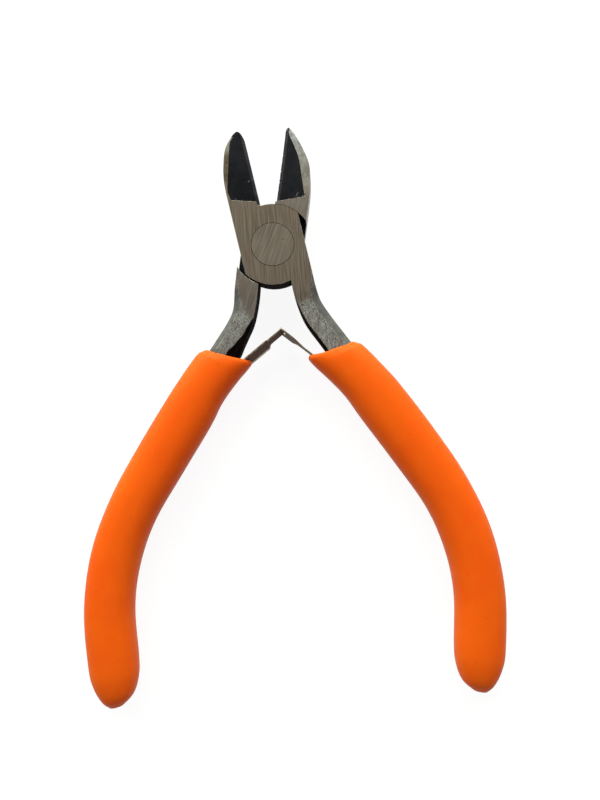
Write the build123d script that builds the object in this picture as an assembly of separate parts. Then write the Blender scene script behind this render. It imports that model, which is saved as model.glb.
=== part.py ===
from build123d import *
import os

# Mini diagonal cutting pliers with a lap joint, two leaf springs and dipped grips, in millimetres.
# The rear half is nearly the front half turned half a turn about Y.
# Each half is drawn closed, with its jaw at x < 0 and its lap face at z = 0, and then turned open.
# In the finished part +Y runs from the pivot to the tips, and z = 0 is the joint's rear face.

# Pose and joint
OPEN_ANGLE = 21.0  # between the halves at rest
HALF_THICKNESS = 3.3  # of the joint, either side of the lap
LAP_GAP = 0.02  # from the lap plane to each half's lap face
PLATE_NECK_SIDE = 6.3  # from the pivot to the plate's side above the neck
FRONT_JAW_SIDE = 6.45  # from the pivot to the plate's side below the jaw
REAR_JAW_SIDE = 5.85
PLATE_RADIUS = 7.8  # round end of the plate, which turns inside the other half's shoulder
SHOULDER_RADIUS = 8.0
FAR = 60.0  # longer than any cut needs to be

# Jaw
EDGE_X = -0.58  # cutting edge, left of the pivot
EDGE_GAP = 0.02  # kept between each cutting edge and the closing line
TIP_Y = 23.75
# Points round the tip and down the jaw's outer side, as distances back from the edge and below the tip
NOSE = [(0, 1.5), (0.25, 0.4), (0.8, 0), (2.0, 0.9), (3.2, 2.4)]
JAW_BACK = [(4.1, 4.0), (5.15, 6.4), (5.7, 8.6)]
JAW_ROOT_Y = 11.15  # the jaw has its full width from here to the joint
TAPER_Y = 10.5  # the jaw thins from here to the tip
TIP_HALF_THICKNESS = 0.75
TAPER_MIDDLE = (17.5, 2.28)  # y and half thickness half way along the taper
BEVEL_WIDTH = 0.6  # ground bevel behind the cutting edge
BEVEL_HEIGHT = 0.5
RELIEF_WIDTH = 5.5  # hollow of the jaw, from the cutting edge to the rim
EDGE_LAND = 0.03  # half thickness left at the cutting edge
STEP_Y = 8.5  # where the hollow starts, on the pivot's centre line
STEP_SLOPE = -0.3

# Rivet
RIVET_HEAD_RADIUS = 4.13
RIVET_HEAD_THICKNESS = 1.6
RIVET_SHANK_RADIUS = 2.6
RIVET_TAIL_RADIUS = 3.4
RIVET_TAIL_THICKNESS = 1.2
RUNNING_FIT = 0.06  # radial clearance in the half that turns on the rivet
PRESS_FIT = 0.01  # radial clearance in the half that holds it

# Handle: stations of the steel tang, as x, y, width, half thickness, outer chamfer
TANG = [
    (4.05, -8.4, 4.50, 3.30, 0.90),
    (3.92, -11.1, 4.75, 3.22, 1.40),
    (4.45, -14.0, 5.00, 3.10, 1.20),
    (6.05, -18.9, 5.30, 2.95, 1.10),
    (8.40, -24.5, 5.20, 2.70, 1.00),
    (12.7, -34.5, 4.70, 2.50, 0.80),
    (16.9, -44.5, 4.50, 2.40, 0.70),
    (20.7, -54.4, 4.50, 2.30, 0.70),
    (22.6, -64.0, 4.50, 2.30, 0.70),
    (22.4, -74.0, 4.30, 2.20, 0.70),
    (20.2, -83.7, 3.90, 2.00, 0.70),
]
NECK_ROOT_Y = -8.4
NECK_ROOT_INNER_X = 1.8
FACET_START_Y = -4.8  # the outer facet grows from here to the neck
TANG_END_DIRECTION = (-0.28, -0.96)
INNER_CHAMFER = 0.25

# Grip: stations of the dipped vinyl, as inner edge x, y, outer edge x, y, thickness and bow.
# The right grip is bent outwards by its bow, and the left grip inwards.
GRIP = [
    (1.25, -22.8, 11.05, -21.6, 7.0, 0.0),
    (3.60, -26.9, 12.48, -23.0, 7.8, 0.05),
    (6.22, -31.7, 14.88, -27.2, 8.2, 0.3),
    (8.24, -36.7, 17.48, -32.3, 8.3, 0.45),
    (12.63, -46.8, 22.02, -42.7, 8.3, 0.5),
    (16.66, -56.7, 25.85, -53.0, 8.2, 0.4),
    (18.30, -65.7, 28.10, -63.9, 8.1, 0.3),
    (18.09, -74.1, 27.90, -75.5, 8.1, 0.2),
    (16.00, -83.2, 25.45, -86.5, 7.8, 0.1),
    (15.44, -86.9, 23.81, -90.4, 7.2, 0.05),
    (15.85, -90.4, 21.77, -92.9, 5.6, 0.0),
    (17.69, -93.1, 19.93, -94.0, 2.4, 0.0),
]
GRIP_CORNER = 0.42  # corner radius of a grip section, as a share of its shorter side
TANG_CLEARANCE = 0.05

# Leaf spring: bending line of each leaf, and the tab that is riveted to the tang
FLEX = (4.05, -25.0)
LEAF_THICKNESS = 0.5
LEAF_WIDTH = 4.4
FLEX_GAP = 0.06  # between the blade's rounded root and the tab
LEFT_LEAN = 42.8  # of the blade at rest, from the half's centre line
LEFT_LENGTH = 12.05
LEFT_WIDE_LENGTH = 8.0
TONGUE_WIDTH = 2.4
RIGHT_LEAN = 36.7
RIGHT_LENGTH = 11.1
RIGHT_NECK_WIDTH = 2.6
RIGHT_HEAD_LENGTH = 3.4
WINDOW_WIDTH = 3.0
WINDOW_LENGTH = 2.0
WINDOW_BAR = 0.3
TAB_BEND = (7.5, -29.5)
TAB_END = (10.5, -36.3)
SPRING_RIVET_PLACE = 0.55  # along the tab's straight part
SPRING_RIVET_RADIUS = 0.8
SPRING_RIVET_HEAD_RADIUS = 1.4
SPRING_RIVET_HEAD = 0.5
SPRING_RIVET_DEPTH = 1.6
POCKET_WIDTH = 5.0
POCKET = [
    (1.0, -21.0),
    (1.45, -22.9),
    (4.0, -26.95),
    (6.5, -31.3),
    (8.7, -36.3),
    (11.2, -38.2),
    (9.0, -24.0),
    (6.0, -21.0),
]


def flat(points):
    """A face in the XY plane through the points."""
    return make_face(Polyline(*points, close=True))


def slab(face, bottom, top):
    """The face extruded from z = bottom to z = top."""
    return Pos(0, 0, bottom) * extrude(face, top - bottom)


def disc(radius, bottom, top):
    """A round plate or hole on the pivot axis."""
    return slab(Circle(radius), bottom, top)


def jaw_outline(edge_x, jaw_side):
    """Plan of a jaw, from its cutting edge round the tip and down its outer side to the joint."""
    nose_start, nose_middle, nose_end, cheek_middle, cheek_end = [
        (edge_x - back, TIP_Y - down) for back, down in NOSE
    ]
    edge = Line((edge_x, 0), nose_start)
    nose = ThreePointArc(nose_start, nose_middle, nose_end)
    cheek = ThreePointArc(nose_end, cheek_middle, cheek_end)
    waist = [(edge_x - back, TIP_Y - down) for back, down in JAW_BACK]
    side = Spline(cheek_end, *waist, (-jaw_side, JAW_ROOT_Y), tangents=[cheek % 1, (0, -1)])
    foot = Polyline(side @ 1, (-jaw_side, 0), edge @ 0)
    return make_face([edge, nose, cheek, side, foot])


def side_profile():
    """Prism that thins the jaw towards its tip, seen from the side."""
    nose_y = TIP_Y + 0.1
    middle_y, middle_half = TAPER_MIDDLE
    top = ThreePointArc((TAPER_Y, HALF_THICKNESS), (middle_y, middle_half), (nose_y, TIP_HALF_THICKNESS))
    nose = Line(top @ 1, (nose_y, -TIP_HALF_THICKNESS))
    bottom = ThreePointArc(nose @ 1, (middle_y, -middle_half), (TAPER_Y, -HALF_THICKNESS))
    heel = Polyline(bottom @ 1, (-FAR, -HALF_THICKNESS), (-FAR, HALF_THICKNESS), top @ 0)
    return extrude(Plane.YZ * make_face([top, nose, bottom, heel]), FAR, both=True)


def jaw_hollow(edge_x):
    """Cutter for the bevel behind the cutting edge and the hollow that runs out to the rim."""
    slope = (HALF_THICKNESS - BEVEL_HEIGHT) / (RELIEF_WIDTH - BEVEL_WIDTH)
    above = 2.0
    section = flat([
        (edge_x + 1, EDGE_LAND),
        (edge_x, EDGE_LAND),
        (edge_x - BEVEL_WIDTH, BEVEL_HEIGHT),
        (edge_x - RELIEF_WIDTH - above / slope, HALF_THICKNESS + above),
        (edge_x + 1, HALF_THICKNESS + above),
    ])
    beyond_step = flat([
        (2, STEP_Y + 2 * STEP_SLOPE),
        (-FAR, STEP_Y - FAR * STEP_SLOPE),
        (-FAR, 2 * FAR),
        (2, 2 * FAR),
    ])
    return extrude(Plane.XZ * section, -FAR) & slab(beyond_step, 0, FAR)


def neck_facet():
    """Cutter for the facet that starts on the plate's outer corner and grows down to the neck."""
    size = TANG[0][4]
    start = Vector(PLATE_NECK_SIDE, FACET_START_Y, HALF_THICKNESS)
    inner = Vector(PLATE_NECK_SIDE - size, NECK_ROOT_Y, HALF_THICKNESS)
    lower = Vector(PLATE_NECK_SIDE, NECK_ROOT_Y, HALF_THICKNESS - size)
    outward = (inner - start).cross(lower - start)
    beyond = Box(FAR, FAR, FAR, align=(Align.CENTER, Align.CENTER, Align.MIN))
    return Plane(origin=start, z_dir=outward) * beyond


def tang(grow=0.0):
    """Steel handle from the joint to its end inside the grip, made larger all round by grow."""
    points = [Vector(x, y) for x, y, *size in TANG]
    line = Spline(*points, tangents=[(0, -1), TANG_END_DIRECTION])
    sections = []
    for point, (x, y, width, half_height, facet) in zip(points, TANG):
        along = line % line.param_at_point(point)
        w = width / 2 + grow
        h = half_height + grow
        outline = flat([
            (-w, INNER_CHAMFER - h),
            (-w, h - INNER_CHAMFER),
            (INNER_CHAMFER - w, h),
            (w - facet, h),
            (w, h - facet),
            (w, facet - h),
            (w - facet, -h),
            (INNER_CHAMFER - w, -h),
        ])
        sections.append(Plane(origin=point, x_dir=(-along.Y, along.X, 0), z_dir=along) * outline)
    return loft(sections)


def half(edge_x, jaw_side):
    """One forged half, closed, with its plate in front of the lap plane."""
    sides = flat([
        (-jaw_side, -PLATE_RADIUS),
        (-jaw_side, PLATE_RADIUS),
        (PLATE_NECK_SIDE, PLATE_RADIUS),
        (PLATE_NECK_SIDE, -PLATE_RADIUS),
    ])
    neck_root = flat([
        (NECK_ROOT_INNER_X, 0),
        (PLATE_NECK_SIDE, 0),
        (PLATE_NECK_SIDE, NECK_ROOT_Y),
        (NECK_ROOT_INNER_X, NECK_ROOT_Y),
    ])
    outline = (Circle(PLATE_RADIUS) & sides) + jaw_outline(edge_x, jaw_side) + neck_root
    body = slab(outline, -HALF_THICKNESS, HALF_THICKNESS) & side_profile()
    body -= disc(SHOULDER_RADIUS, -FAR, LAP_GAP)
    for cutter in (jaw_hollow(edge_x), neck_facet()):
        body -= cutter
        body -= mirror(cutter, about=Plane.XY)
    return body + tang()


def spring_rivet_axis():
    """Plane on the tang side of the leaf tab, with its z axis pointing into the tang."""
    bend = Vector(*TAB_BEND)
    run = Vector(*TAB_END) - bend
    into_tang = Vector(-run.Y, run.X).normalized()
    centre = bend + run * SPRING_RIVET_PLACE + into_tang * (LEAF_THICKNESS / 2)
    return Plane(origin=centre, z_dir=into_tang)


def post(plane, radius, bottom, top):
    """A cylinder along the plane's z axis."""
    return plane * disc(radius, bottom, top)


def spring_rivet_hole():
    return post(spring_rivet_axis(), SPRING_RIVET_RADIUS + PRESS_FIT, 0, SPRING_RIVET_DEPTH)


def front_half():
    body = half(EDGE_X - EDGE_GAP, FRONT_JAW_SIDE)
    body -= disc(RIVET_SHANK_RADIUS + RUNNING_FIT, -FAR, FAR)
    body -= disc(RIVET_HEAD_RADIUS + RUNNING_FIT, HALF_THICKNESS - RIVET_HEAD_THICKNESS - RUNNING_FIT, FAR)
    return body - spring_rivet_hole()


def rear_half():
    body = half(-EDGE_X - EDGE_GAP, REAR_JAW_SIDE)
    body -= disc(RIVET_SHANK_RADIUS + PRESS_FIT, -FAR, FAR)
    body -= disc(RIVET_TAIL_RADIUS + PRESS_FIT, HALF_THICKNESS - RIVET_TAIL_THICKNESS, FAR)
    return body - spring_rivet_hole()


def pivot_rivet():
    """Rivet as the rear half sees it: the tail is on its plate and the head in the front plate."""
    head = disc(RIVET_HEAD_RADIUS, -HALF_THICKNESS, RIVET_HEAD_THICKNESS - HALF_THICKNESS)
    shank = disc(RIVET_SHANK_RADIUS, -HALF_THICKNESS, HALF_THICKNESS)
    tail = disc(RIVET_TAIL_RADIUS, HALF_THICKNESS - RIVET_TAIL_THICKNESS, HALF_THICKNESS)
    return head + shank + tail


def spring_rivet():
    axis = spring_rivet_axis()
    head_top = -LEAF_THICKNESS - SPRING_RIVET_HEAD
    head = post(axis, SPRING_RIVET_HEAD_RADIUS, head_top, -LEAF_THICKNESS)
    return head + post(axis, SPRING_RIVET_RADIUS, head_top, SPRING_RIVET_DEPTH)


def leaf_tab():
    """Fixed end of a leaf, from its bending line to the rivet on the tang."""
    centre = Polyline(FLEX, TAB_BEND, TAB_END)
    strip = slab(trace(centre, LEAF_THICKNESS), -LEAF_WIDTH / 2, LEAF_WIDTH / 2)
    strip -= Pos(*FLEX) * disc(LEAF_THICKNESS / 2 + FLEX_GAP, -FAR, FAR)
    return strip - post(spring_rivet_axis(), SPRING_RIVET_RADIUS + PRESS_FIT, -FAR, FAR)


def blade(lean, steps):
    """Free end of a leaf: steps are its lengths from the bending line, each with its width."""
    solid = disc(LEAF_THICKNESS / 2, -steps[0][1] / 2, steps[0][1] / 2)
    start = 0.0
    for length, width in steps:
        run = Rectangle(LEAF_THICKNESS, length - start, align=(Align.CENTER, Align.MIN))
        solid += Pos(0, start, 0) * slab(run, -width / 2, width / 2)
        start = length
    return solid, Pos(*FLEX) * Rot(0, 0, lean)


def left_leaf():
    solid, place = blade(LEFT_LEAN, [(LEFT_WIDE_LENGTH, LEAF_WIDTH), (LEFT_LENGTH, TONGUE_WIDTH)])
    return place * solid


def right_leaf():
    head_start = RIGHT_LENGTH - RIGHT_HEAD_LENGTH
    solid, place = blade(RIGHT_LEAN, [(head_start, RIGHT_NECK_WIDTH), (RIGHT_LENGTH, LEAF_WIDTH)])
    window = Box(2, WINDOW_LENGTH, WINDOW_WIDTH, align=(Align.CENTER, Align.MAX, Align.CENTER))
    return place * (solid - Pos(0, RIGHT_LENGTH - WINDOW_BAR, 0) * window)


def grip(outwards):
    """Dipped vinyl grip with a flared mouth, hollow for the tang and for the leaf behind its wall."""
    sections = []
    for inner_x, inner_y, outer_x, outer_y, thickness, bow in GRIP:
        inner = Vector(inner_x + outwards * bow, inner_y)
        across = Vector(outer_x + outwards * bow, outer_y) - inner
        corner = GRIP_CORNER * min(across.length, thickness)
        plane = Plane(origin=inner + across / 2, x_dir=across, z_dir=(across.Y, -across.X, 0))
        sections.append(plane * RectangleRounded(across.length, thickness, corner))
    pocket = slab(flat(POCKET), -POCKET_WIDTH / 2, POCKET_WIDTH / 2)
    return loft(sections) - tang(TANG_CLEARANCE) - pocket


def on_front(shape):
    """Move a shape drawn with the closed half to the open front half."""
    return Pos(0, 0, HALF_THICKNESS) * Rot(0, 0, OPEN_ANGLE / 2) * shape


def on_rear(shape):
    """Move a shape drawn with the closed half to the open rear half."""
    return Pos(0, 0, HALF_THICKNESS) * Rot(0, 0, -OPEN_ANGLE / 2) * Rot(0, 180, 0) * shape


parts = {
    "front_half": on_front(front_half()),
    "rear_half": on_rear(rear_half()),
    "pivot_rivet": on_rear(pivot_rivet()),
    "grip_right": on_front(grip(1)),
    "grip_left": on_rear(grip(-1)),
    "right_leaf_tab": on_front(leaf_tab()),
    "left_leaf_tab": on_rear(leaf_tab()),
    "right_leaf": on_front(right_leaf()),
    "left_leaf": on_rear(left_leaf()),
    "right_spring_rivet": on_front(spring_rivet()),
    "left_spring_rivet": on_rear(spring_rivet()),
}

os.makedirs("parts", exist_ok=True)
for name, shape in parts.items():
    export_step(shape, f"parts/{name}.step")
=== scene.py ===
import math

import bmesh
import bpy
from mathutils import Matrix, Vector


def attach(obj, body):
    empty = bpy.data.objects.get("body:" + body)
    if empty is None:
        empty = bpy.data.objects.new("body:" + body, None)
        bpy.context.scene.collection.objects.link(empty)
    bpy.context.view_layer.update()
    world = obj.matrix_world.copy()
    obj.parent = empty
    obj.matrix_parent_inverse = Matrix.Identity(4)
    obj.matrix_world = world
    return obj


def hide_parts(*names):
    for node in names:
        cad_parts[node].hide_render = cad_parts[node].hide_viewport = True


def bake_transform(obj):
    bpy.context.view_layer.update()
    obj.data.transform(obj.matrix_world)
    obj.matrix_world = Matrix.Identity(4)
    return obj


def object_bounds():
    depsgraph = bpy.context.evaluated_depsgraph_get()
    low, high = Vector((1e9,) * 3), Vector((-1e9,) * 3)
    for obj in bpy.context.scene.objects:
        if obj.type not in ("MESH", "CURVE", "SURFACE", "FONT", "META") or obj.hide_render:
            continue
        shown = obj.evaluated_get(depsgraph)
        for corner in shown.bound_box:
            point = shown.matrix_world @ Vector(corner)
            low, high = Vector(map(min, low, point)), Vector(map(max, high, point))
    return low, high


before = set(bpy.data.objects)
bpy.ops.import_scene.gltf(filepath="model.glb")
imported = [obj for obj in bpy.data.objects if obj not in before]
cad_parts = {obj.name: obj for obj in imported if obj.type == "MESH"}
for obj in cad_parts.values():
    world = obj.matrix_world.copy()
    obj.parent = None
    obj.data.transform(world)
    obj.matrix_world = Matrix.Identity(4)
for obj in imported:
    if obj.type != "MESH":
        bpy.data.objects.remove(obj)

# Diagonal cutting pliers. Shapes are drawn in millimetres with each half closed, its jaw at x < 0,
# its lap face at z = 0, and are then placed on the open halves of the CAD frame.

cad_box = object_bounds()
MM = 0.001

# Sizes that repeat the CAD part's
OPEN_ANGLE = 21.0
HALF = 3.3
LAP_GAP = 0.02
PLATE_RADIUS = 7.8
EDGE_X = -0.58
EDGE_GAP = 0.02
BEVEL_WIDTH = 0.6
BEVEL_HEIGHT = 0.5
EDGE_LAND = 0.03
STEP_Y = 8.5
STEP_SLOPE = -0.3
RIVET_HEAD_RADIUS = 4.13
RIVET_HEAD_Z = 1.7
RIVET_SHANK_RADIUS = 2.6
RIVET_TAIL_RADIUS = 3.4
RIVET_TAIL_Z = 2.1
FLEX = Vector((4.05, -25.0))
LEAF_HALF_WIDTH = 2.2

# Sizes of the visible pieces alone. THROUGH takes a cutter well past both faces.
JAW_SHOULDER_RADIUS = 7.87
NECK_SHOULDER_RADIUS = 8.08
RIVET_EDGE = 0.03
FORGING_EDGE = 0.07
STRIP_EDGE = 0.05
RING_GAP = 0.08
POCKET_GAP = 0.06
STRIP_THICKNESS = 0.34
SHARP_ANGLE = math.radians(28)
ROUNDED_ANGLE = math.radians(40)
THROUGH = 9.0

FRONT = Matrix.Translation((0, 0, HALF * MM)) @ Matrix.Rotation(math.radians(OPEN_ANGLE / 2), 4, "Z")
REAR = (
    Matrix.Translation((0, 0, HALF * MM))
    @ Matrix.Rotation(math.radians(-OPEN_ANGLE / 2), 4, "Z")
    @ Matrix.Rotation(math.pi, 4, "Y")
)


# ---------------------------------------------------------------- curves and meshes

def through(points, per_span=8):
    """Points of a smooth curve through the given ones, with per_span points for each span."""
    points = [Vector(p) for p in points]
    points = [points[0] * 2 - points[1], *points, points[-1] * 2 - points[-2]]
    found = []
    for a, b, c, d in zip(points, points[1:], points[2:], points[3:]):
        for k in range(per_span):
            t = k / per_span
            found.append(0.5 * (2 * b + (c - a) * t + (2 * a - 5 * b + 4 * c - d) * t * t
                                + (3 * b - a - 3 * c + d) * t ** 3))
    found.append(points[-2])
    return found


def arc(radius, start, end, step=3.0):
    """Points on a circle about the pivot, from one angle to another in degrees."""
    count = max(2, round(abs(end - start) / step))
    angles = [math.radians(start + (end - start) * k / count) for k in range(count + 1)]
    return [Vector((radius * math.cos(a), radius * math.sin(a))) for a in angles]


def circle(radius, step=3.0):
    """Points all the way round a circle about the pivot, every step degrees."""
    return arc(radius, 0, 360 - step, step)


def new_object(name, bm, place=Matrix.Identity(4)):
    """An object from a bmesh drawn in millimetres, moved to its place in the CAD frame."""
    bmesh.ops.recalc_face_normals(bm, faces=bm.faces)
    bmesh.ops.scale(bm, vec=(MM, MM, MM), verts=bm.verts)
    mesh = bpy.data.meshes.new(name)
    bm.to_mesh(mesh)
    bm.free()
    mesh.transform(place)
    obj = bpy.data.objects.new(name, mesh)
    bpy.context.scene.collection.objects.link(obj)
    return obj


def solid_between(name, low, high):
    """A closed solid between two rings of the same number of points."""
    bm = bmesh.new()
    bottom = [bm.verts.new(p) for p in low]
    top = [bm.verts.new(p) for p in high]
    bm.faces.new(bottom)
    bm.faces.new(top)
    count = len(low)
    for i in range(count):
        j = (i + 1) % count
        bm.faces.new((bottom[i], bottom[j], top[j], top[i]))
    return new_object(name, bm)


def prism(name, outline, bottom, top):
    """A closed solid with the given plan, between two heights."""
    return solid_between(name, [(x, y, bottom) for x, y in outline], [(x, y, top) for x, y in outline])


def loft(name, rings, place=Matrix.Identity(4)):
    """A closed solid through rings of the same number of points."""
    bm = bmesh.new()
    rows = [[bm.verts.new(p) for p in ring] for ring in rings]
    count = len(rings[0])
    for a, b in zip(rows, rows[1:]):
        for i in range(count):
            j = (i + 1) % count
            bm.faces.new((a[i], a[j], b[j], b[i]))
    bm.faces.new(rows[0])
    bm.faces.new(rows[-1])
    return new_object(name, bm, place)


def boolean(obj, cutter, operation="DIFFERENCE"):
    """Cut obj with the cutter, or keep what they share, and remove the cutter."""
    modifier = obj.modifiers.new("cut", "BOOLEAN")
    modifier.operation = operation
    modifier.solver = "EXACT"
    modifier.object = cutter
    bpy.context.view_layer.update()
    mesh = bpy.data.meshes.new_from_object(obj.evaluated_get(bpy.context.evaluated_depsgraph_get()))
    obj.modifiers.clear()
    old = obj.data
    obj.data = mesh
    bpy.data.meshes.remove(old)
    bpy.data.objects.remove(cutter)


# ---------------------------------------------------------------- forged halves

# Each half as drawn closed. top is the side of its lap face that is up when the tool lies on the floor, and
# blunt leaves the hollow's outer corner standing on that side. Past black_tip_y the jaw is black all over.
# Outlines are points x, y. The other tables are pairs, a place along y and the size there, with y rising.
FRONT_SHAPE = {
    "top": 1,
    "blunt": True,
    "black_tip_y": 22.8,
    "edge": EDGE_X - EDGE_GAP,
    "nicks": [],
    "notch": [(-1.15, 9.6), (0.3, 9.6), (0.3, 7.9), (-0.6, 8.0), (-1.12, 8.15)],
    "jaw_side": 6.45,
    "neck_side": 6.2,
    "jaw": [
        (-0.62, 21.6), (-0.72, 22.35), (-1.08, 23.35), (-1.65, 23.86), (-2.2, 23.68), (-2.9, 23.1),
        (-4.2, 21.55), (-5.04, 19.9), (-5.72, 17.5), (-6.1, 15.8), (-6.38, 13.6), (-6.45, 11.2), (-6.45, 6.5),
    ],
    "rim": [
        (9, 5.55), (12.2, 5.5), (13.9, 5.05), (17.3, 4.15), (20.2, 3.35), (22.3, 2.65), (23.7, 1.6),
        (25, 1.0),
    ],
    "neck_inner": [
        (1.85, -7.6), (1.75, -9.6), (1.85, -12.0), (2.3, -15.0), (3.05, -17.4), (4.35, -20.4), (6.3, -25.0),
        (8.4, -29.8), (10.6, -35.4),
    ],
    "neck_outer": [
        (17.0, -39.5), (15.3, -34.4), (11.5, -24.5), (9.55, -20.0), (7.63, -15.63), (6.5, -12.5), (6.2, -9.6),
    ],
    "outer_facet": [
        (-30, 1.0), (-21.6, 1.05), (-19.7, 1.4), (-16, 1.6), (-13.6, 1.5), (-11.7, 1.55), (-9.4, 0.8),
        (-7.3, 0.1), (-6.0, -0.3),
    ],
    "inner_facet": [(-30, 0.5), (-20, 0.5), (-15, 0.42), (-12.5, 0.25), (-11, 0.0), (-10, -0.4)],
    "inner_reach": 0.35,
}
REAR_SHAPE = {
    "top": -1,
    "blunt": False,
    "black_tip_y": math.inf,
    "edge": -EDGE_X - EDGE_GAP,
    "nicks": [(11.4, 0.12), (12.9, 0.2), (13.7, 0.12), (15.1, 0.16), (16.9, 0.1), (18.3, 0.18)],
    "notch": [],
    "jaw_side": 5.85,
    "neck_side": 6.3,
    "jaw": [
        (0.58, 21.8), (0.6, 22.7), (0.55, 23.3), (0.3, 23.72), (-0.05, 23.66), (-0.5, 23.2), (-1.25, 22.4),
        (-2.3, 21.05), (-3.4, 19.4), (-4.75, 17.0), (-5.38, 14.8), (-5.75, 12.0), (-5.85, 8.5), (-5.85, 6.0),
    ],
    "rim": [
        (9, 5.6), (10.0, 5.5), (11.8, 5.0), (14.6, 4.2), (17.5, 3.35), (20.0, 2.12), (22.4, 0.8),
        (23.5, 0.64),
    ],
    "neck_inner": [
        (1.75, -7.6), (1.65, -9.6), (1.65, -12.0), (1.8, -14.4), (2.1, -16.2), (2.7, -18.2), (3.3, -20.2),
        (3.75, -21.9), (4.5, -23.5), (6.0, -25.4), (8.1, -30.0), (10.6, -35.4),
    ],
    "neck_outer": [
        (16.8, -39.5), (14.8, -34.4), (11.0, -24.5), (9.5, -21.6), (8.12, -18.7), (7.04, -16.46),
        (6.25, -14.3), (6.08, -12.5), (6.25, -9.6),
    ],
    "outer_facet": [
        (-30, 0.95), (-21.5, 1.0), (-18, 1.15), (-15, 1.0), (-12.4, 1.3), (-11, 1.05), (-8.65, 0.7),
        (-6, 0.3), (-4.6, 0.0), (-3.5, -0.3),
    ],
    "inner_facet": [
        (-30, 2.0), (-22, 2.2), (-20.5, 1.5), (-18.2, 0.75), (-16.6, 0.65), (-15.2, 0.35), (-14.2, 0.0),
        (-13, -0.3),
    ],
    "inner_reach": 1.2,
}

# Half of the forgings' thickness along y
NECK_HEIGHTS = [
    (-50, 2.35), (-34.5, 2.5), (-24.5, 2.7), (-18.9, 2.95), (-14, 3.12), (-11.3, 3.25), (-10.3, HALF),
    (10.5, HALF),
]
JAW_HEIGHTS = [(12.0, 3.2), (14.3, 2.82), (17.4, 2.3), (20.1, 1.72), (22.3, 1.12), (23.9, 0.62), (25, 0.5)]
HALF_HEIGHTS = NECK_HEIGHTS + [tuple(point) for point in through(JAW_HEIGHTS, 6)]
PROFILE_END_Y = -60
PROFILE_SIDE = 40

# The straight stretch of the cutting edge, and a nick in it: steps along y, each with its share of depth
EDGE_START_Y = 9.5
EDGE_END_Y = 19.3
NICK = ((-0.16, 0), (0, 1), (0.1, 0))

# The ground hollow: where it runs, how it is cut, and the corner left standing at its root
HOLLOW_START = 5.0
HOLLOW_END = 25.0
HOLLOW_RINGS = 50
HOLLOW_TOP = HALF + 3.0
HOLLOW_ROOM = 1.5
HOLLOW_MIN_SLOPE = 0.3
HOLLOW_MIN_WIDTH = 0.05
HOLLOW_ROOT_Y = 10.4
BLUNT_INSET = 0.25
BLUNT_END = (-0.1, 12.2)

# The block past the joint's step that the hollow stays inside: how far it goes across, along and up
STEP_ENDS = (3, -20)
STEP_FAR_Y = 40
STEP_HEIGHT = 30

FACET_RUN_UP = (-7.8, -5.6, -3.4)
FACET_REACH = 0.6


def interpolate(table, at):
    """Value between the table's pairs, which rise in their first number."""
    if at <= table[0][0]:
        return table[0][1]
    for (x0, v0), (x1, v1) in zip(table, table[1:]):
        if at <= x1:
            return v0 + (v1 - v0) * (at - x0) / (x1 - x0)
    return table[-1][1]


def plan_outline(shape):
    """Plan of one half, with its jaw, its plate and the neck that goes into the grip."""
    jaw_corner = math.degrees(math.acos(shape["jaw_side"] / PLATE_RADIUS))
    neck_corner = math.degrees(math.acos(shape["neck_side"] / PLATE_RADIUS))
    edge_angle = math.degrees(math.acos(shape["edge"] / PLATE_RADIUS))
    neck_angle = math.degrees(math.acos(shape["neck_inner"][0][0] / PLATE_RADIUS))
    edge = [Vector((shape["edge"], EDGE_START_Y))]
    for y, depth in shape["nicks"]:
        edge += [Vector((shape["edge"] - share * depth, y + step)) for step, share in NICK]
    edge.append(Vector((shape["edge"], EDGE_END_Y)))
    bottom = arc(PLATE_RADIUS, 180 + jaw_corner, 360 - neck_angle)
    inner = through(shape["neck_inner"])[1:]
    crown = arc(PLATE_RADIUS, neck_corner, edge_angle)
    return edge + through(shape["jaw"]) + bottom + inner + through(shape["neck_outer"]) + crown


def profile_prism():
    """Prism through the forging's side view, thinner towards the tip and down the neck."""
    top = [(PROFILE_END_Y, HALF_HEIGHTS[0][1])] + HALF_HEIGHTS[1:]
    ring = top + [(y, -height) for y, height in reversed(top)]
    sides = [[(x, y, z) for y, z in ring] for x in (-PROFILE_SIDE, PROFILE_SIDE)]
    return solid_between("profile", *sides)


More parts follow.
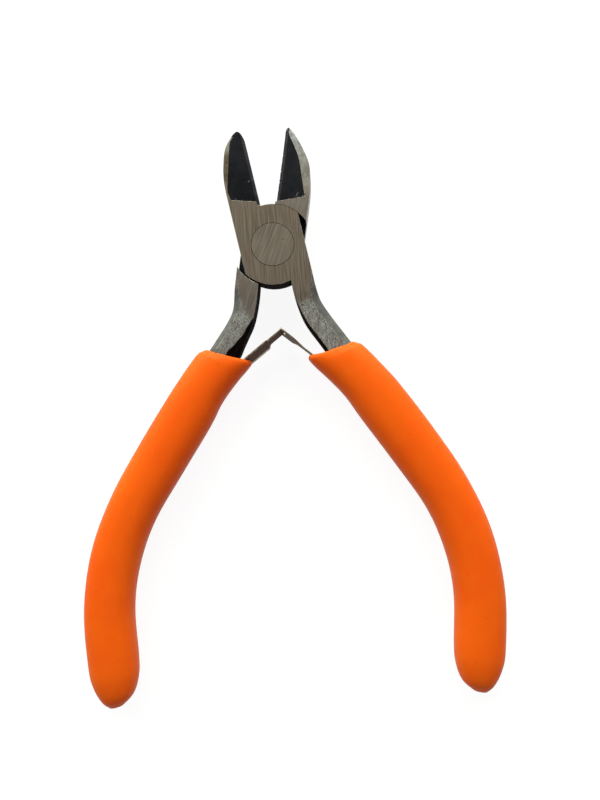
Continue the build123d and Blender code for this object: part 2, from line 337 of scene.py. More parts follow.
def hollow_cutter(shape, side, blunt):
    """The ground hollow of a jaw, from the bevel at the cutting edge out to the rim."""
    edge_x = shape["edge"]
    rim = through(shape["rim"], 6)
    rings = []
    for k in range(HOLLOW_RINGS + 1):
        y = HOLLOW_START + (HOLLOW_END - HOLLOW_START) * k / HOLLOW_RINGS
        width = interpolate(rim, y)
        height = interpolate(HALF_HEIGHTS, y)
        bevel = min(BEVEL_WIDTH, width - HOLLOW_MIN_WIDTH)
        slope = max(HOLLOW_MIN_SLOPE, (height - BEVEL_HEIGHT) / (width - bevel))
        inside = edge_x + HOLLOW_ROOM
        outside = edge_x - bevel - (HOLLOW_TOP - BEVEL_HEIGHT) / slope
        section = [(inside, EDGE_LAND), (edge_x, EDGE_LAND), (edge_x - bevel, BEVEL_HEIGHT),
                   (outside, HOLLOW_TOP), (inside, HOLLOW_TOP)]
        rings.append([(x, y, side * z) for x, z in section])
    cutter = loft("hollow", rings)
    step = [(x, STEP_Y + x * STEP_SLOPE) for x in STEP_ENDS]
    beyond_step = step + [(x, STEP_FAR_Y) for x in reversed(STEP_ENDS)]
    boolean(cutter, prism("beyond_step", beyond_step, -STEP_HEIGHT, STEP_HEIGHT), "INTERSECT")
    if blunt:
        foot = edge_x - shape["rim"][1][1]
        outside = foot - THROUGH
        corner = [
            (outside, HOLLOW_START),
            (foot + BLUNT_INSET, HOLLOW_START),
            (foot + BLUNT_INSET, HOLLOW_ROOT_Y),
            (foot + BLUNT_END[0], BLUNT_END[1]),
            (outside, BLUNT_END[1]),
        ]
        boolean(cutter, prism("corner", corner, -THROUGH, THROUGH))
    return cutter


def lap_cutter():
    """Round room for the other half's plate, closer under the jaw than at the neck."""
    step = 2.5
    ring = arc(JAW_SHOULDER_RADIUS, 0, 180 - step, step) + arc(NECK_SHOULDER_RADIUS, 180, 360 - step, step)
    return prism("lap", ring, -THROUGH, LAP_GAP)


def facet_cutter(line, sizes, side, reach):
    """A 45 degree facet along an edge of the forging; sizes are its widths at places along y.

    The cutter sticks out past the edge by reach.
    """
    rings = []
    for i, point in enumerate(line):
        before = line[max(0, i - 1)]
        after = line[min(len(line) - 1, i + 1)]
        along = (after - before).normalized()
        out = Vector((along.y, -along.x))
        size = interpolate(sizes, point.y)
        height = interpolate(HALF_HEIGHTS, point.y)
        section = [(-size - reach, height + reach), (reach, height - size - reach), (reach, height + reach)]
        rings.append([(*(point + out * n), side * z) for n, z in section])
    return loft("facet", rings)


def forging(name, shape, pocket_radius, pocket_z):
    """One forged half, with its lap, ground hollows, neck facets and rivet hole."""
    body = prism(name, plan_outline(shape), -HALF, HALF)
    boolean(body, profile_prism(), "INTERSECT")
    boolean(body, lap_cutter())
    boolean(body, prism("bore", circle(RIVET_SHANK_RADIUS + RING_GAP, 4), -THROUGH, THROUGH))
    boolean(body, prism("pocket", circle(pocket_radius + RING_GAP), pocket_z, THROUGH))
    outer_line = through(shape["neck_outer"] + [(shape["neck_side"], y) for y in FACET_RUN_UP], 5)
    inner_line = through(shape["neck_inner"], 5)
    for side in (1, -1):
        boolean(body, hollow_cutter(shape, side, shape["blunt"] and side == shape["top"]))
        boolean(body, facet_cutter(outer_line, shape["outer_facet"], side, FACET_REACH))
    boolean(body, facet_cutter(inner_line, shape["inner_facet"], shape["top"], shape["inner_reach"]))
    if shape["notch"]:
        boolean(body, prism("notch", shape["notch"], BEVEL_HEIGHT, THROUGH))
    return body


def weigh_edges(body, edge_x, dark_slots):
    """Mark the sharp edges to be rounded.

    Dark ones, the hollow's rim, the crown beside the jaw and the rivet hole stay crisp.
    """
    hollow_width = 5.9
    crown_top_y = 8.4
    crown_band = 0.15
    pocket_band = 0.2
    bm = bmesh.new()
    bm.from_mesh(body.data)
    weight = bm.edges.layers.float.new("bevel_weight_edge")
    for edge in bm.edges:
        middle = (edge.verts[0].co + edge.verts[1].co) / 2 / MM
        dark = all(face.material_index in dark_slots for face in edge.link_faces)
        past_root = middle.y > HOLLOW_ROOT_Y and middle.x > edge_x - hollow_width
        hollow_rim = past_root and abs(middle.z) > BEVEL_HEIGHT
        pocket = middle.xy.length < RIVET_HEAD_RADIUS + pocket_band
        crown = 0 < middle.y < crown_top_y and abs(middle.xy.length - PLATE_RADIUS) < crown_band
        crisp = dark or hollow_rim or pocket or crown
        if edge.is_manifold and not crisp and edge.calc_face_angle(0) > SHARP_ANGLE:
            edge[weight] = 1.0
    bm.to_mesh(body.data)
    bm.free()


def soften(obj, width, limit="ANGLE", worn_highlight_slot=-1):
    """Round the edges and shade the rest smooth. The rounding may have a finish of its own, which on the
    forgings is worn metal that is partly a painted highlight.
    """
    bevel = obj.modifiers.new("edges", "BEVEL")
    bevel.width = width * MM
    bevel.segments = 2
    bevel.limit_method = limit
    bevel.angle_limit = ROUNDED_ANGLE
    bevel.material = worn_highlight_slot
    bevel.harden_normals = True
    bevel.use_clamp_overlap = False
    smooth_faces(obj)


def smooth_faces(obj):
    obj.data.shade_smooth()
    obj.data.set_sharp_from_angle(angle=SHARP_ANGLE)


# ---------------------------------------------------------------- rivet

def joint_rivet():
    """Rivet as the rear half sees it, with its ground head in the front plate."""
    edge = RIVET_EDGE
    profile = [
        (RIVET_HEAD_RADIUS - edge, -HALF),
        (RIVET_HEAD_RADIUS, edge - HALF),
        (RIVET_HEAD_RADIUS, -RIVET_HEAD_Z),
        (RIVET_SHANK_RADIUS, -RIVET_HEAD_Z),
        (RIVET_SHANK_RADIUS, RIVET_TAIL_Z),
        (RIVET_TAIL_RADIUS, RIVET_TAIL_Z),
        (RIVET_TAIL_RADIUS, HALF - edge),
        (RIVET_TAIL_RADIUS - edge, HALF),
    ]
    rings = [[(*point, z) for point in circle(radius)] for radius, z in profile]
    return loft("joint_rivet", rings, REAR)


# ---------------------------------------------------------------- grips

# Stations: inner edge x, y, outer edge x, y, thickness, and how far the right grip is bowed out and the
# left one in
GRIP = [
    (0.80, -22.9, 11.05, -21.6, 7.0, 0.15),
    (3.6, -26.9, 12.48, -23.0, 7.8, 0.2),
    (6.35, -31.7, 14.88, -27.2, 8.2, 0.35),
    (8.24, -36.7, 17.48, -32.3, 8.3, 0.5),
    (12.63, -46.8, 22.02, -42.7, 8.3, 0.5),
    (16.66, -56.7, 25.85, -53.0, 8.2, 0.42),
    (18.30, -65.7, 28.10, -63.9, 8.1, 0.3),
    (18.09, -74.1, 27.90, -75.5, 8.1, 0.2),
    (16.00, -83.2, 25.45, -86.5, 7.8, 0.1),
    (15.44, -86.9, 23.81, -90.4, 7.2, 0.05),
    (15.85, -90.4, 21.77, -92.9, 5.6, 0.0),
    (17.69, -93.1, 19.93, -94.0, 2.4, 0.0),
]
STATION_RINGS = 5
RING_POINTS = 28
SQUARENESS = 2.45

# Rings of the mouth, from inside it out over the lip: how far down the grip, how much smaller all round,
# and how much smaller still at the inner end
MOUTH = (
    (4.0, 1.5, 0.0),
    (2.0, 1.05, 0.2),
    (0.5, 0.95, 0.55),
    (0.05, 0.75, 0.62),
    (0.0, 0.55, 0.56),
    (0.2, 0.3, 0.32),
    (0.6, 0.15, 0.07),
    (1.15, 0.06, 0.0),
)
MOUTH_RINGS = 3
MOUTH_SWELL = 0.17
LIP_DIP = 0.2
LIP_REACH = 2.5


def grip_ring(inner, outer, thickness, shrink=0.0, pull=0.0, rise=0.0, dip=0.0):
    """Rounded section of a grip, made smaller all round by shrink and at its inner end by pull too.

    Along the grip, its inner end goes up by rise and the middle of its flat sides goes down by dip.
    """
    across = (outer - inner).normalized()
    upward = Vector((-across.y, across.x))
    centre = (inner + outer + across * pull) / 2
    a = (outer - inner).length / 2 - shrink - pull / 2
    b = thickness / 2 - shrink
    ring = []
    for k in range(RING_POINTS):
        angle = 2 * math.pi * (k + 0.5) / RING_POINTS
        c = math.cos(angle)
        s = math.sin(angle)
        u = a * math.copysign(abs(c) ** (2 / SQUARENESS), c)
        v = b * math.copysign(abs(s) ** (2 / SQUARENESS), s)
        shift = rise * max(0.0, -c) ** 2 - dip * s ** 2
        ring.append((*(centre + across * u + upward * shift), v))
    return ring


def grip(name, outwards, lip_rise, place):
    """Dipped vinyl grip: a rounded lip, a hollow mouth and a long oval body.

    The mouth takes the place of the body's first MOUTH_RINGS rings. outwards is 1 for the right grip and -1
    for the left one, and lip_rise is how far the inner end of the lip stands up.
    """
    inner = [Vector((row[0] + outwards * row[5], row[1])) for row in GRIP]
    outer = [Vector((row[2] + outwards * row[5], row[3])) for row in GRIP]
    down_inner = (inner[1] - inner[0]).normalized()
    down_outer = (outer[1] - outer[0]).normalized()
    rings = []
    for depth, shrink, pull in MOUTH:
        thickness = GRIP[0][4] + depth * MOUTH_SWELL
        wave = max(0.0, 1 - depth / LIP_REACH)
        rings.append(grip_ring(inner[0] + down_inner * depth, outer[0] + down_outer * depth, thickness,
                               shrink, pull, lip_rise * wave, LIP_DIP * wave))
    thicknesses = [(row[4], 0) for row in GRIP]
    body = list(zip(*[through(line, STATION_RINGS) for line in (inner, outer, thicknesses)]))
    rings += [grip_ring(i, o, thickness[0]) for i, o, thickness in body[MOUTH_RINGS:]]
    obj = loft(name, rings, place)
    obj.data.shade_smooth()
    smooth = obj.modifiers.new("smooth", "SUBSURF")
    smooth.levels = 2
    smooth.render_levels = 2
    return obj


# ---------------------------------------------------------------- leaf springs

# Each leaf: how far its blade leans, in degrees, the point where it bends, and its half widths along the
# blade. The blade twists until its face slants by tilt, between the two tilt_ends along it, and its edge on
# the side of z that top gives stays straight.
LEFT_LEAF = {
    "lean": 42.8,
    "root": FLEX,
    "widths": [(-20, 2.2), (7.8, 2.2), (8.5, 1.25), (11.7, 1.2), (12.0, 0.95)],
    "window": None,
    "tilt": -0.26,
    "tilt_ends": (-1, 3),
    "top": -1,
}
RIGHT_LEAF = {
    "lean": 38.9,
    "root": FLEX + Vector((0.32, 0.24)),
    "widths": [(-20, 2.2), (-3, 2.2), (0, 1.5), (6.6, 1.3), (7.6, 2.2), (10.9, 2.2), (11.1, 2.0)],
    "window": (9.6, 10.87),
    "tilt": 0.12,
    "tilt_ends": (5, 8),
    "top": 1,
}
TAB = [(10.5, -36.3), (9.0, -32.9), (7.5, -29.5), (5.9, -27.35)]
TAB_STEPS = 6
BLADE_STEPS = 40

# The strip has three bands across it, and the window is cut out of the middle one
BAND_HALF_WIDTH = 1.5
BAND_SHARE = 0.62

# Each side of a patch of the strip: the way to the patch beyond it, and that side's two corners
PATCH_SIDES = (
    ((-1, 0), ((0, 0), (0, 1))),
    ((1, 0), ((1, 0), (1, 1))),
    ((0, -1), ((0, 0), (1, 0))),
    ((0, 1), ((0, 1), (1, 1))),
)


def leaf_line(shape, blade):
    """Middle line of a strip: a curve off the tang, then the straight blade."""
    root = shape["root"]
    tab = through([*TAB, root, root + blade * 2], TAB_STEPS)[:-TAB_STEPS]
    length = shape["widths"][-1][0]
    return tab + [root + blade * length * k / BLADE_STEPS for k in range(1, BLADE_STEPS + 1)]


def leaf_rows(bm, line, shape, blade):
    """Vertices across the strip at each point of its line, four on each of its two faces."""
    rows = []
    for i, point in enumerate(line):
        along = (line[min(i + 1, len(line) - 1)] - line[max(i - 1, 0)]).normalized()
        normal = Vector((along.y, -along.x))
        reach = (point - shape["root"]).dot(blade)
        half = interpolate(shape["widths"], reach)
        band = min(BAND_HALF_WIDTH, half * BAND_SHARE)
        slant = shape["tilt"] * interpolate(list(zip(shape["tilt_ends"], (0, 1))), reach)
        shift = slant * shape["top"] * (LEAF_HALF_WIDTH - half)
        row = []
        for side in (1, -1):
            offset = side * STRIP_THICKNESS / 2 + shift
            corners = [(*(point + normal * (offset + slant * z)), z) for z in (-half, -band, band, half)]
            row.append([bm.verts.new(corner) for corner in corners])
        rows.append(row)
    return rows


def leaf_patches(line, shape, blade):
    """Patches of the strip that are metal, each a step along it and a band across it."""
    start, end = shape["window"] or (0, 0)
    patches = set()
    for i in range(len(line) - 1):
        middle = ((line[i] + line[i + 1]) / 2 - shape["root"]).dot(blade)
        patches |= {(i, 0), (i, 2)} if start < middle < end else {(i, 0), (i, 1), (i, 2)}
    return patches


def leaf(name, shape, place):
    """One bent strip, from the rivet on the tang to its free end.

    Its bending point and a step of one millimetre along its blade are returned with it.
    """
    lean = math.radians(shape["lean"])
    blade = Vector((-math.sin(lean), math.cos(lean)))
    line = leaf_line(shape, blade)
    bm = bmesh.new()
    rows = leaf_rows(bm, line, shape, blade)
    patches = leaf_patches(line, shape, blade)
    for i, k in patches:
        for face in (0, 1):
            near = rows[i][face]
            far = rows[i + 1][face]
            bm.faces.new((near[k], far[k], far[k + 1], near[k + 1]))
        for (di, dk), corners in PATCH_SIDES:
            if (i + di, k + dk) not in patches:
                (a, p), (b, q) = [(i + step, k + across) for step, across in corners]
                bm.faces.new((rows[a][0][p], rows[b][0][q], rows[b][1][q], rows[a][1][p]))
    obj = new_object(name, bm, place)
    return obj, place @ (shape["root"].to_3d() * MM), place.to_3x3() @ blade.to_3d() * MM


# ---------------------------------------------------------------- materials

class Shader:
    """A node material with a Principled surface."""

    def __init__(self, name):
        self.material = bpy.data.materials.new(name)
        self.material.use_nodes = True
        self.tree = self.material.node_tree
        self.tree.nodes.clear()
        self.output = self.tree.nodes.new("ShaderNodeOutputMaterial")
        self.surface = self.tree.nodes.new("ShaderNodeBsdfPrincipled")
        self.join(self.surface.outputs["BSDF"], self.output.inputs["Surface"])

    def join(self, out, into):
        self.tree.links.new(out, into)

    def node(self, kind, inputs=None, **settings):
        made = self.tree.nodes.new("ShaderNode" + kind)
        for key, value in settings.items():
            setattr(made, key, value)
        for key, value in (inputs or {}).items():
            if isinstance(value, bpy.types.NodeSocket):
                self.join(value, made.inputs[key])
            else:
                made.inputs[key].default_value = value
        return made

    def set(self, **values):
        for key, value in values.items():
            socket = self.surface.inputs[key.replace("_", " ")]
            if isinstance(value, bpy.types.NodeSocket):
                self.join(value, socket)
            else:
                socket.default_value = value

    def place(self, turn=0.0, stretch=(1, 1, 1)):
        """Object coordinates, turned about Z in degrees and scaled."""
        coordinates = self.node("TexCoord").outputs["Object"]
        turned = self.node("Mapping", {"Vector": coordinates, "Rotation": (0, 0, math.radians(turn))})
        return self.node("Mapping", {"Vector": turned.outputs[0], "Scale": stretch}).outputs[0]

    def noise(self, size, where=None, detail=4.0, rough=0.6):
        """Noise whose features are about size millimetres across."""
        where = where or self.place()
        return self.node("TexNoise", {"Vector": where, "Scale": 1000 / size, "Detail": detail,
                                      "Roughness": rough}).outputs["Fac"]

    def remap(self, value, low, high, to_low=0.0, to_high=1.0):
        return self.node("MapRange", {0: value, 1: low, 2: high, 3: to_low, 4: to_high},
                         interpolation_type="SMOOTHSTEP").outputs[0]

    def math(self, operation, a, b=0.0):
        return self.node("Math", {0: a, 1: b}, operation=operation).outputs[0]

    def mix(self, share, a, b, blend="MIX"):
        made = self.tree.nodes.new("ShaderNodeMix")
        made.data_type = "RGBA"
        made.blend_type = blend
        for index, value in ((0, share), (6, a), (7, b)):
            if isinstance(value, bpy.types.NodeSocket):
                self.join(value, made.inputs[index])
            else:
                made.inputs[index].default_value = value if index == 0 else (*value, 1)
        return made.outputs[2]

    def bump(self, *layers):
        """Layers are (height socket, distance in millimetres)."""
        normal = None
        for height, distance in layers:
            inputs = {"Height": height, "Distance": distance * MM, "Strength": 1.0}
            if normal:
                inputs["Normal"] = normal
            normal = self.node("Bump", inputs).outputs[0]
        self.join(normal, self.surface.inputs["Normal"])


def srgb(*display):
    """Linear colour from red, green and blue display values, 0 to 255."""
    return tuple(c / 255 / 12.92 if c <= 10 else ((c / 255 + 0.055) / 1.055) ** 2.4 for c in display)


def ground(shader, lean, dark, light):
    """Colour, roughness and height of steel ground with a belt, its lines leaning by lean degrees."""
    fine = shader.noise(0.2, shader.place(lean, (1, 0.025, 0.3)), 4, 0.7)
    broad = shader.noise(0.8, shader.place(lean + 1.5, (1, 0.04, 0.3)), 3, 0.6)
    cloud = shader.noise(5.0, shader.place(), 3, 0.5)
    lines = shader.math("ADD", shader.math("MULTIPLY", fine, 0.93), shader.math("MULTIPLY", broad, 0.07))
    steel = shader.mix(shader.remap(lines, 0.34, 0.66), dark, light)
    colour = shader.mix(shader.remap(cloud, 0.35, 0.75, 0.0, 0.4), steel, srgb(136, 117, 97))
    scratch = shader.remap(shader.noise(0.7, shader.place(lean + 4, (1, 0.02, 0.3)), 2, 0.5), 0.67, 0.73)
    colour = shader.mix(shader.math("MULTIPLY", scratch, 0.12), colour, srgb(82, 70, 60))
    pits = shader.remap(shader.noise(0.8, None, 2, 0.4), 0.745, 0.78)
    colour = shader.mix(shader.math("MULTIPLY", pits, 0.8), colour, srgb(58, 44, 34))
    roughness = shader.remap(lines, 0.3, 0.7, 0.38, 0.5)
    height = shader.math("SUBTRACT", lines, shader.math("MULTIPLY", pits, 2.0))
    return colour, roughness, height


def blasted(shader, lean):
    """Colour, roughness and height of grainy blasted steel with small pits and a faint streak."""
    grain = shader.noise(0.26, None, 4, 0.8)
    streak = shader.noise(0.3, shader.place(lean + 12, (1, 0.2, 0.5)), 4, 0.7)
    patch = shader.noise(2.2, None, 3, 0.5)
    pits = shader.remap(shader.noise(0.9, None, 2, 0.4), 0.70, 0.75)
    mixed = shader.math("ADD", shader.math("MULTIPLY", grain, 0.65), shader.math("MULTIPLY", streak, 0.35))
    steel = shader.mix(shader.remap(mixed, 0.38, 0.64), srgb(92, 90, 84), srgb(208, 208, 199))
    colour = shader.mix(shader.remap(patch, 0.3, 0.7, 0.0, 0.45), steel, srgb(134, 126, 114))
    colour = shader.mix(pits, colour, srgb(38, 34, 30))
    roughness = shader.remap(mixed, 0.3, 0.7, 0.42, 0.6)
    height = shader.math("SUBTRACT", mixed, shader.math("MULTIPLY", pits, 1.5))
    return colour, roughness, height


def plate_steel(name, lean, dark, light, towards_plate, limit):
    """Ground plate that turns to blasted steel past a line across the neck.

    towards_plate is the line's normal, and limit its distance from the pivot along it, in millimetres.
    """
    raggedness = 3.2
    fade = 0.6
    shader = Shader(name)
    where = shader.node("SeparateXYZ", {0: shader.node("TexCoord").outputs["Object"]})
    across = shader.math("ADD", shader.math("MULTIPLY", where.outputs["X"], towards_plate[0]),
                         shader.math("MULTIPLY", where.outputs["Y"], towards_plate[1]))
    wander = shader.noise(0.8, shader.place(lean, (1, 0.2, 1)), 4, 0.7)
    ragged = shader.math("MULTIPLY", shader.math("SUBTRACT", wander, 0.5), raggedness * MM)
    reach = shader.math("ADD", across, ragged)
    below = shader.remap(reach, (limit - fade) * MM, (limit + fade) * MM, 1.0, 0.0)
    colour_a, rough_a, lines = ground(shader, lean, dark, light)
    colour_b, rough_b, grain = blasted(shader, lean)
    mixed = shader.node("Mix", {0: below, 2: rough_a, 3: rough_b})
    height_a = shader.math("MULTIPLY", lines, 0.2)
    height = shader.node("Mix", {0: below, 2: height_a, 3: grain})
    shader.set(Base_Color=shader.mix(below, colour_a, colour_b), Metallic=0.85, Roughness=mixed.outputs[0])
    shader.bump((height.outputs[0], 0.045))
    return shader.material


def ground_steel(name, lean, dark, light):
    shader = Shader(name)
    colour, roughness, lines = ground(shader, lean, dark, light)
    shader.set(Base_Color=colour, Metallic=0.85, Roughness=roughness)
    shader.bump((lines, 0.009))
    return shader.material


# Places along y where a jaw's rim turns to its worn colour, and then to its tip colour, which is a painted
# highlight
RIM_WORN = (9.5, 13.5)
RIM_PAINTED_HIGHLIGHT = (17, 20.5)


def rim_steel(name, lean, dark, light, middle, tip):
    """Rim and side of a jaw: plate steel at its root, then the middle colour, then the tip colour, a painted
    highlight on the jaw's tip.
    """
    shader = Shader(name)
    along = shader.node("SeparateXYZ", {0: shader.node("TexCoord").outputs["Object"]}).outputs["Y"]
    colour, roughness, lines = ground(shader, lean, dark, light)
    patches = shader.noise(0.45, shader.place(lean, (1, 0.4, 1)), 4, 0.7)
    mottle = shader.remap(patches, 0.36, 0.66, 0.55, 1.0)
    worn = shader.mix(1.0, middle, mottle, "MULTIPLY")
    # the mottled tip colour is a painted highlight
    bright = shader.mix(1.0, tip, mottle, "MULTIPLY")
    colour = shader.mix(shader.remap(along, RIM_WORN[0] * MM, RIM_WORN[1] * MM), colour, worn)
    colour = shader.mix(shader.remap(along, RIM_PAINTED_HIGHLIGHT[0] * MM, RIM_PAINTED_HIGHLIGHT[1] * MM), colour, bright)
    shader.set(Base_Color=colour, Metallic=0.85, Roughness=roughness)
    shader.bump((lines, 0.009))
    return shader.material


def black_finish(name, dark, light, roughness, gloss, marks=0.5):
    """Blackened steel with faint cloudy wear and a few hairline scratches, as strong as marks says. It also
    serves as the painted shade on the forgings' sides.
    """
    shader = Shader(name)
    cloud = shader.noise(3.0, None, 4, 0.6)
    dust = shader.noise(0.25, None, 4, 0.7)
    scratch = shader.remap(shader.noise(0.4, shader.place(38, (1, 0.12, 0.5)), 1, 0.4), 0.735, 0.76)
    colour = shader.mix(shader.remap(cloud, 0.35, 0.7), dark, light)
    dusty = shader.math("MULTIPLY", shader.remap(dust, 0.68, 0.8), 0.35)
    colour = shader.mix(dusty, colour, srgb(96, 96, 98))
    colour = shader.mix(shader.math("MULTIPLY", scratch, marks), colour, srgb(150, 150, 150))
    shader.set(Base_Color=colour, Roughness=shader.remap(dust, 0.3, 0.7, roughness, roughness + 0.12),
               Specular_IOR_Level=gloss)
    shader.bump((dust, 0.008))
    return shader.material


def facet_steel(name):
    """Smooth forged facet down the outside of a neck."""
    shader = Shader(name)
    cloud = shader.noise(1.6, None, 4, 0.6)
    grain = shader.noise(0.2, None, 3, 0.6)
    colour = shader.mix(shader.remap(cloud, 0.3, 0.7), srgb(84, 84, 80), srgb(112, 112, 106))
    shader.set(Base_Color=colour, Metallic=0.8, Roughness=shader.remap(grain, 0.3, 0.7, 0.4, 0.5))
    shader.bump((grain, 0.006))
    return shader.material


def worn_highlight_steel(name):
    """Bare bright metal along the edges, broken up where the finish has lasted; its light colour is partly a
    painted highlight along the rounded edges and ridges.
    """
    shader = Shader(name)
    patch = shader.noise(0.5, None, 4, 0.7)
    colour = shader.mix(shader.remap(patch, 0.4, 0.6), srgb(96, 86, 74), srgb(168, 166, 158))
    shader.set(Base_Color=colour, Metallic=0.85, Roughness=shader.remap(patch, 0.3, 0.7, 0.5, 0.38))
    shader.bump((patch, 0.006))
    return shader.material


def leaf_steel(name):
    """Rolled spring strip with a brown tint."""
    shader = Shader(name)
    streak = shader.noise(0.5, shader.place(0, (1, 1, 0.1)), 4, 0.6)
    cloud = shader.noise(2.0, None, 3, 0.5)
    colour = shader.mix(shader.remap(streak, 0.3, 0.7), srgb(58, 40, 28), srgb(92, 66, 48))
    colour = shader.mix(shader.remap(cloud, 0.4, 0.7, 0.0, 0.5), colour, srgb(62, 41, 28))
    shader.set(Base_Color=colour, Metallic=0.3, Roughness=shader.remap(streak, 0.3, 0.7, 0.4, 0.52),
               Specular_IOR_Level=0.08, Specular_Tint=(0.5, 0.38, 0.28, 1))
    shader.bump((streak, 0.006))
    return shader.material


def leaf_edge_steel(name):
    """Sheared edge of the spring strip, lighter than its faces."""
    shader = Shader(name)
    patch = shader.noise(0.6, None, 4, 0.6)
    colour = shader.mix(shader.remap(patch, 0.35, 0.65), srgb(120, 104, 84), srgb(170, 156, 134))
    shader.set(Base_Color=colour, Metallic=0.8, Roughness=shader.remap(patch, 0.3, 0.7, 0.36, 0.46))
    shader.bump((patch, 0.005))
    return shader.material


def vinyl(name):
    """Orange dipped vinyl: soft gloss, gentle unevenness, faint specks."""
    shader = Shader(name)
    wave = shader.noise(9.0, None, 2, 0.4)
    skin = shader.noise(0.5, None, 3, 0.5)
    cloud = shader.noise(14.0, None, 3, 0.5)
    speck = shader.remap(shader.noise(1.1, None, 1, 0.3), 0.755, 0.785)
    colour = shader.mix(shader.remap(cloud, 0.35, 0.65), (0.92, 0.116, 0.003), (0.96, 0.134, 0.003))
    colour = shader.mix(shader.math("MULTIPLY", speck, 0.2), colour, (0.55, 0.06, 0.004))
    shader.set(Base_Color=colour, Roughness=shader.remap(skin, 0.3, 0.7, 0.42, 0.5), Specular_IOR_Level=0.1,
               Subsurface_Weight=0.4, Subsurface_Radius=(1.0, 0.26, 0.06), Subsurface_Scale=0.0025)
    shader.bump((wave, 0.12), (skin, 0.006))
    return shader.material


# ---------------------------------------------------------------- assembly

FRONT_LEAN = -1.5
REAR_LEAN = 19.5
FRONT_TONES = (srgb(116, 105, 90), srgb(143, 131, 116))
REAR_TONES = (srgb(122, 113, 102), srgb(148, 139, 128))
RIVET_TONES = (srgb(126, 116, 102), srgb(148, 138, 123))
steel_slots = {
    "black": black_finish("blackened_hollow", srgb(12, 13, 19), srgb(26, 26, 31), 0.5, 0.08),
    "bevel": black_finish("blackened_bevel", srgb(40, 39, 45), srgb(58, 56, 62), 0.45, 0.1),
    # the sides of a forging: steel painted near-black as shade, with almost no gloss so that they reflect no
    # light
    "shaded_wall": black_finish("painted_shade_wall", srgb(20, 16, 14), srgb(38, 30, 26), 0.8, 0.01, 0.05),
    "facet": facet_steel("neck_facet"),
    # worn bare metal on the rounded edges, its light colour partly a painted highlight along the ridges
    "worn": worn_highlight_steel("worn_edge_and_highlight"),
}
front_steel = {
    "plate": plate_steel("front_plate_steel", FRONT_LEAN, *FRONT_TONES, (-0.3, 0.954), -12.5),
    # the last colour is the painted highlight on the jaw's tip
    "rim": rim_steel("front_rim_steel_painted_tip_highlight", FRONT_LEAN, *FRONT_TONES, srgb(84, 72, 60), srgb(112, 108, 100)),
}
rear_steel = {
    "plate": plate_steel("rear_plate_steel", REAR_LEAN, *REAR_TONES, (0.86, 0.51), -11.35),
    # the last colour is the painted highlight on the jaw's tip
    "rim": rim_steel("rear_rim_steel_painted_tip_highlight", REAR_LEAN, *REAR_TONES, srgb(123, 119, 113), srgb(112, 112, 112)),
}
DARK_FINISHES = ("black", "bevel", "shaded_wall")

# What tells the faces of a forging apart: how far they look up or sideways, and where their centres lie
LEVEL = 0.9
HOLLOW_SLOPE = 0.3
FACET_SLOPE = 0.25
HOLLOW_LEAN = 0.2
JAW_LEAN = 0.05
NECK_LEAN = 0.5
LAP_DEPTH = 0.2
NOTCH_DEPTH = 1.5
NOTCH_END_Y = 15
BEVEL_ROOM = 0.02
HOLLOW_FOOT_Y = 7.5
RIM_FOOT_Y = 9.0
RIM_INSET = 0.8
NECK_TOP_Y = -3
SHOULDER_TOP_Y = 4
SHOULDER_X = 5


def steel_zone(centre, normal, shape):
    """Which finish a face of a forging has, in the closed half's own frame, in millimetres."""
    up = abs(normal.z)
    depth = abs(centre.z)
    edge_x = shape["edge"]
    if up > LEVEL and (depth < LAP_DEPTH or depth < NOTCH_DEPTH and centre.y < NOTCH_END_Y):
        return "black"
    if centre.y > HOLLOW_FOOT_Y and up > HOLLOW_SLOPE and abs(normal.x) > HOLLOW_LEAN:
        at_edge = depth < BEVEL_HEIGHT + BEVEL_ROOM and abs(centre.x - edge_x) < BEVEL_WIDTH
        return "bevel" if at_edge else "black"
    if centre.y > shape["black_tip_y"]:
        return "black"
    if up > LEVEL:
        return "rim" if centre.y > RIM_FOOT_Y else "plate"
    # sloped neck faces turned away from the outside get the painted shade of the walls
    if up > FACET_SLOPE and centre.y < NECK_TOP_Y:
        return "facet" if normal.x > 0 else "shaded_wall"
    outside_of_jaw = normal.x < -JAW_LEAN and centre.x < edge_x - RIM_INSET
    if centre.y > 0 and outside_of_jaw:
        return "rim"
    # the outer side of the neck gets the facet steel, every other side the painted shade of the walls
    outside_of_neck = normal.x > NECK_LEAN and centre.x > SHOULDER_X
    return "facet" if centre.y < SHOULDER_TOP_Y and outside_of_neck else "shaded_wall"


def finish_forging(body, node, shape, steel, place):
    """Give each face its finish, move the forging to its open place and round its edges."""
    finishes = {**steel, **steel_slots}
    names = list(finishes)
    for material in finishes.values():
        body.data.materials.append(material)
    for face in body.data.polygons:
        face.material_index = names.index(steel_zone(face.center / MM, face.normal, shape))
    weigh_edges(body, shape["edge"], [names.index(name) for name in DARK_FINISHES])
    body.data.transform(place)
    # the rounded edges get the worn steel, which is partly a painted highlight
    soften(body, FORGING_EDGE, "WEIGHT", names.index("worn"))
    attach(body, node)
    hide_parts(node)


front_forging = forging("front_forging", FRONT_SHAPE, RIVET_HEAD_RADIUS, RIVET_HEAD_Z - POCKET_GAP)
rear_forging = forging("rear_forging", REAR_SHAPE, RIVET_TAIL_RADIUS, RIVET_TAIL_Z)
finish_forging(front_forging, "front_half", FRONT_SHAPE, front_steel, FRONT)
finish_forging(rear_forging, "rear_half", REAR_SHAPE, rear_steel, REAR)

rivet = joint_rivet()
rivet.data.materials.append(ground_steel("rivet_steel", REAR_LEAN + 4, *RIVET_TONES))
smooth_faces(rivet)
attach(rivet, "rear_half")
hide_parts("pivot_rivet")

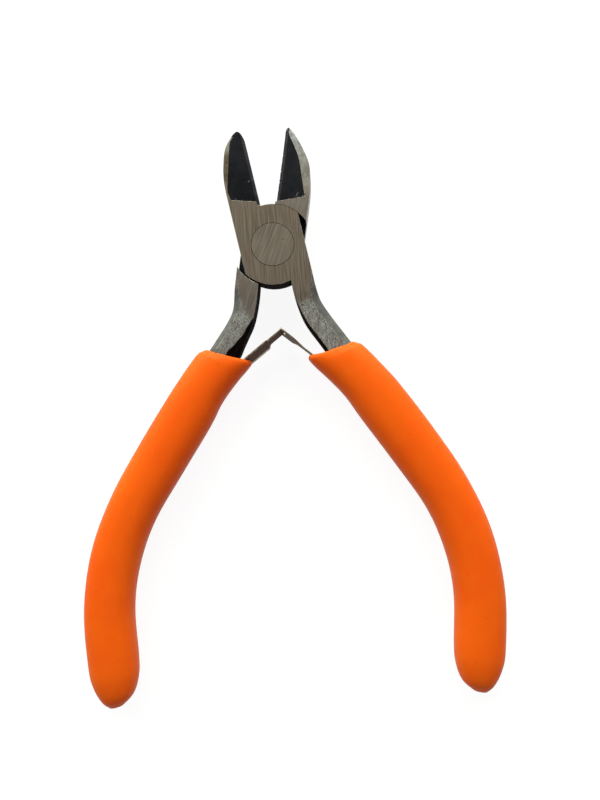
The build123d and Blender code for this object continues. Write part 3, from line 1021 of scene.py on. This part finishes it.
grip_vinyl = vinyl("dipped_vinyl")
for name, node, body, outwards, lip_rise, place in (
    ("grip_right_vinyl", "grip_right", "front_half", 1, 0.5, FRONT),
    ("grip_left_vinyl", "grip_left", "rear_half", -1, 0.22, REAR),
):
    piece = grip(name, outwards, lip_rise, place)
    piece.data.materials.append(grip_vinyl)
    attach(piece, body)
    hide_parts(node)

strip_steel = leaf_steel("spring_strip")
strip_edge = leaf_edge_steel("spring_strip_edge")

# A strip is bright on its sheared edges, and the left one also on the low part of its faces
SHEARED_EDGE = 0.7
BRIGHT_BAND_Z = 2.2
for name, shape, place, body, blade, tab in (
    ("leaf_left_strip", LEFT_LEAF, REAR, "rear_half", "left_leaf", "left_leaf_tab"),
    ("leaf_right_strip", RIGHT_LEAF, FRONT, "front_half", "right_leaf", "right_leaf_tab"),
):
    piece, flex, along = leaf(name, shape, place)
    piece.data.materials.append(strip_steel)
    piece.data.materials.append(strip_edge)
    for face in piece.data.polygons:
        bright_band = shape is LEFT_LEAF and face.center.z < BRIGHT_BAND_Z * MM
        face.material_index = 1 if abs(face.normal.z) > SHEARED_EDGE or bright_band else 0
    soften(piece, STRIP_EDGE)
    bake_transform(piece)
    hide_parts(blade, tab)

hidden_steel = ground_steel("spring_rivet_steel", 0, srgb(110, 104, 96), srgb(140, 134, 126))
for name in ("left_spring_rivet", "right_spring_rivet"):
    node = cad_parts[name]
    node.data.materials.clear()
    node.data.materials.append(hidden_steel)


# ---------------------------------------------------------------- stage, light and camera

# Places and sizes are in metres here
FLOOR_REACH = 1.5
FLOOR_DROP = 0.0001
WINDOW_PLACE = (-0.12, 1.15, 0.52)
WINDOW_AIM = (0.0, -0.03, 0.0)
WINDOW_SIZE = (2.8, 1.0)
WINDOW_POWER = 47.0
WINDOW_COLOUR = (1.0, 1.05, 0.92)
SKY_COLOUR = (0.97, 0.94, 1.02, 1)
SKY_STRENGTH = 0.31


def floor():
    """Pale floor just under the tool. It glows, but throws no light onto the undersides."""
    size = FLOOR_REACH
    mesh = bpy.data.meshes.new("floor")
    z = cad_box[0][2] - FLOOR_DROP
    corners = [(-size, -size, z), (size, -size, z), (size, size, z), (-size, size, z)]
    mesh.from_pydata(corners, [], [(0, 1, 2, 3)])
    obj = bpy.data.objects.new("floor", mesh)
    bpy.context.scene.collection.objects.link(obj)
    shader = Shader("pale_floor")
    tone = shader.noise(40.0, None, 3, 0.5)
    shader.set(Base_Color=shader.mix(tone, (0.15, 0.15, 0.15), (0.17, 0.17, 0.17)), Roughness=0.9,
               Emission_Color=(1, 1, 1, 1), Emission_Strength=0.9)
    mesh.materials.append(shader.material)
    obj.visible_diffuse = False


def window_softbox():
    """A wide soft light, low beyond the jaws."""
    light = bpy.data.lights.new("window_softbox", "AREA")
    light.shape = "RECTANGLE"
    light.size, light.size_y = WINDOW_SIZE
    light.energy = WINDOW_POWER
    light.color = WINDOW_COLOUR
    obj = bpy.data.objects.new("window_softbox", light)
    bpy.context.scene.collection.objects.link(obj)
    obj.location = WINDOW_PLACE
    obj.rotation_euler = (Vector(WINDOW_AIM) - Vector(WINDOW_PLACE)).to_track_quat("-Z", "Y").to_euler()


def sky():
    """Even light from all round."""
    world = bpy.data.worlds.new("studio")
    world.use_nodes = True
    background = world.node_tree.nodes["Background"]
    background.inputs["Color"].default_value = SKY_COLOUR
    background.inputs["Strength"].default_value = SKY_STRENGTH
    bpy.context.scene.world = world


# The camera is almost straight above the tool. VIEW_HEIGHT is how much the frame takes in, top to bottom,
# at the height of the joint's face.
VIEW_HEIGHT = 0.1538
FACE_DROP = 0.0008
EYE_XY = (0.0084, -0.0325)
EYE_HEIGHT = 0.158
LOOK_XY = (0.0037, -0.0303)
PICTURE_UP = (0.0532, 0.9986, 0.0)
SENSOR = 36.0


def camera():
    """The view from above, with the jaws at the top."""
    face_z = cad_box[1][2] - FACE_DROP
    eye = Vector((*EYE_XY, face_z + EYE_HEIGHT))
    look = Vector((*LOOK_XY, face_z))
    back = (eye - look).normalized()
    right = Vector(PICTURE_UP).cross(back).normalized()
    data = bpy.data.cameras.new("camera")
    data.sensor_width = SENSOR
    data.lens = SENSOR * (eye - look).length / VIEW_HEIGHT
    data.clip_start = 0.01
    obj = bpy.data.objects.new("camera", data)
    bpy.context.scene.collection.objects.link(obj)
    obj.matrix_world = Matrix((right, back.cross(right), back)).transposed().to_4x4()
    obj.location = eye
    bpy.context.scene.camera = obj


floor()
window_softbox()
sky()
camera()
bpy.context.scene.view_settings.view_transform = "Standard"
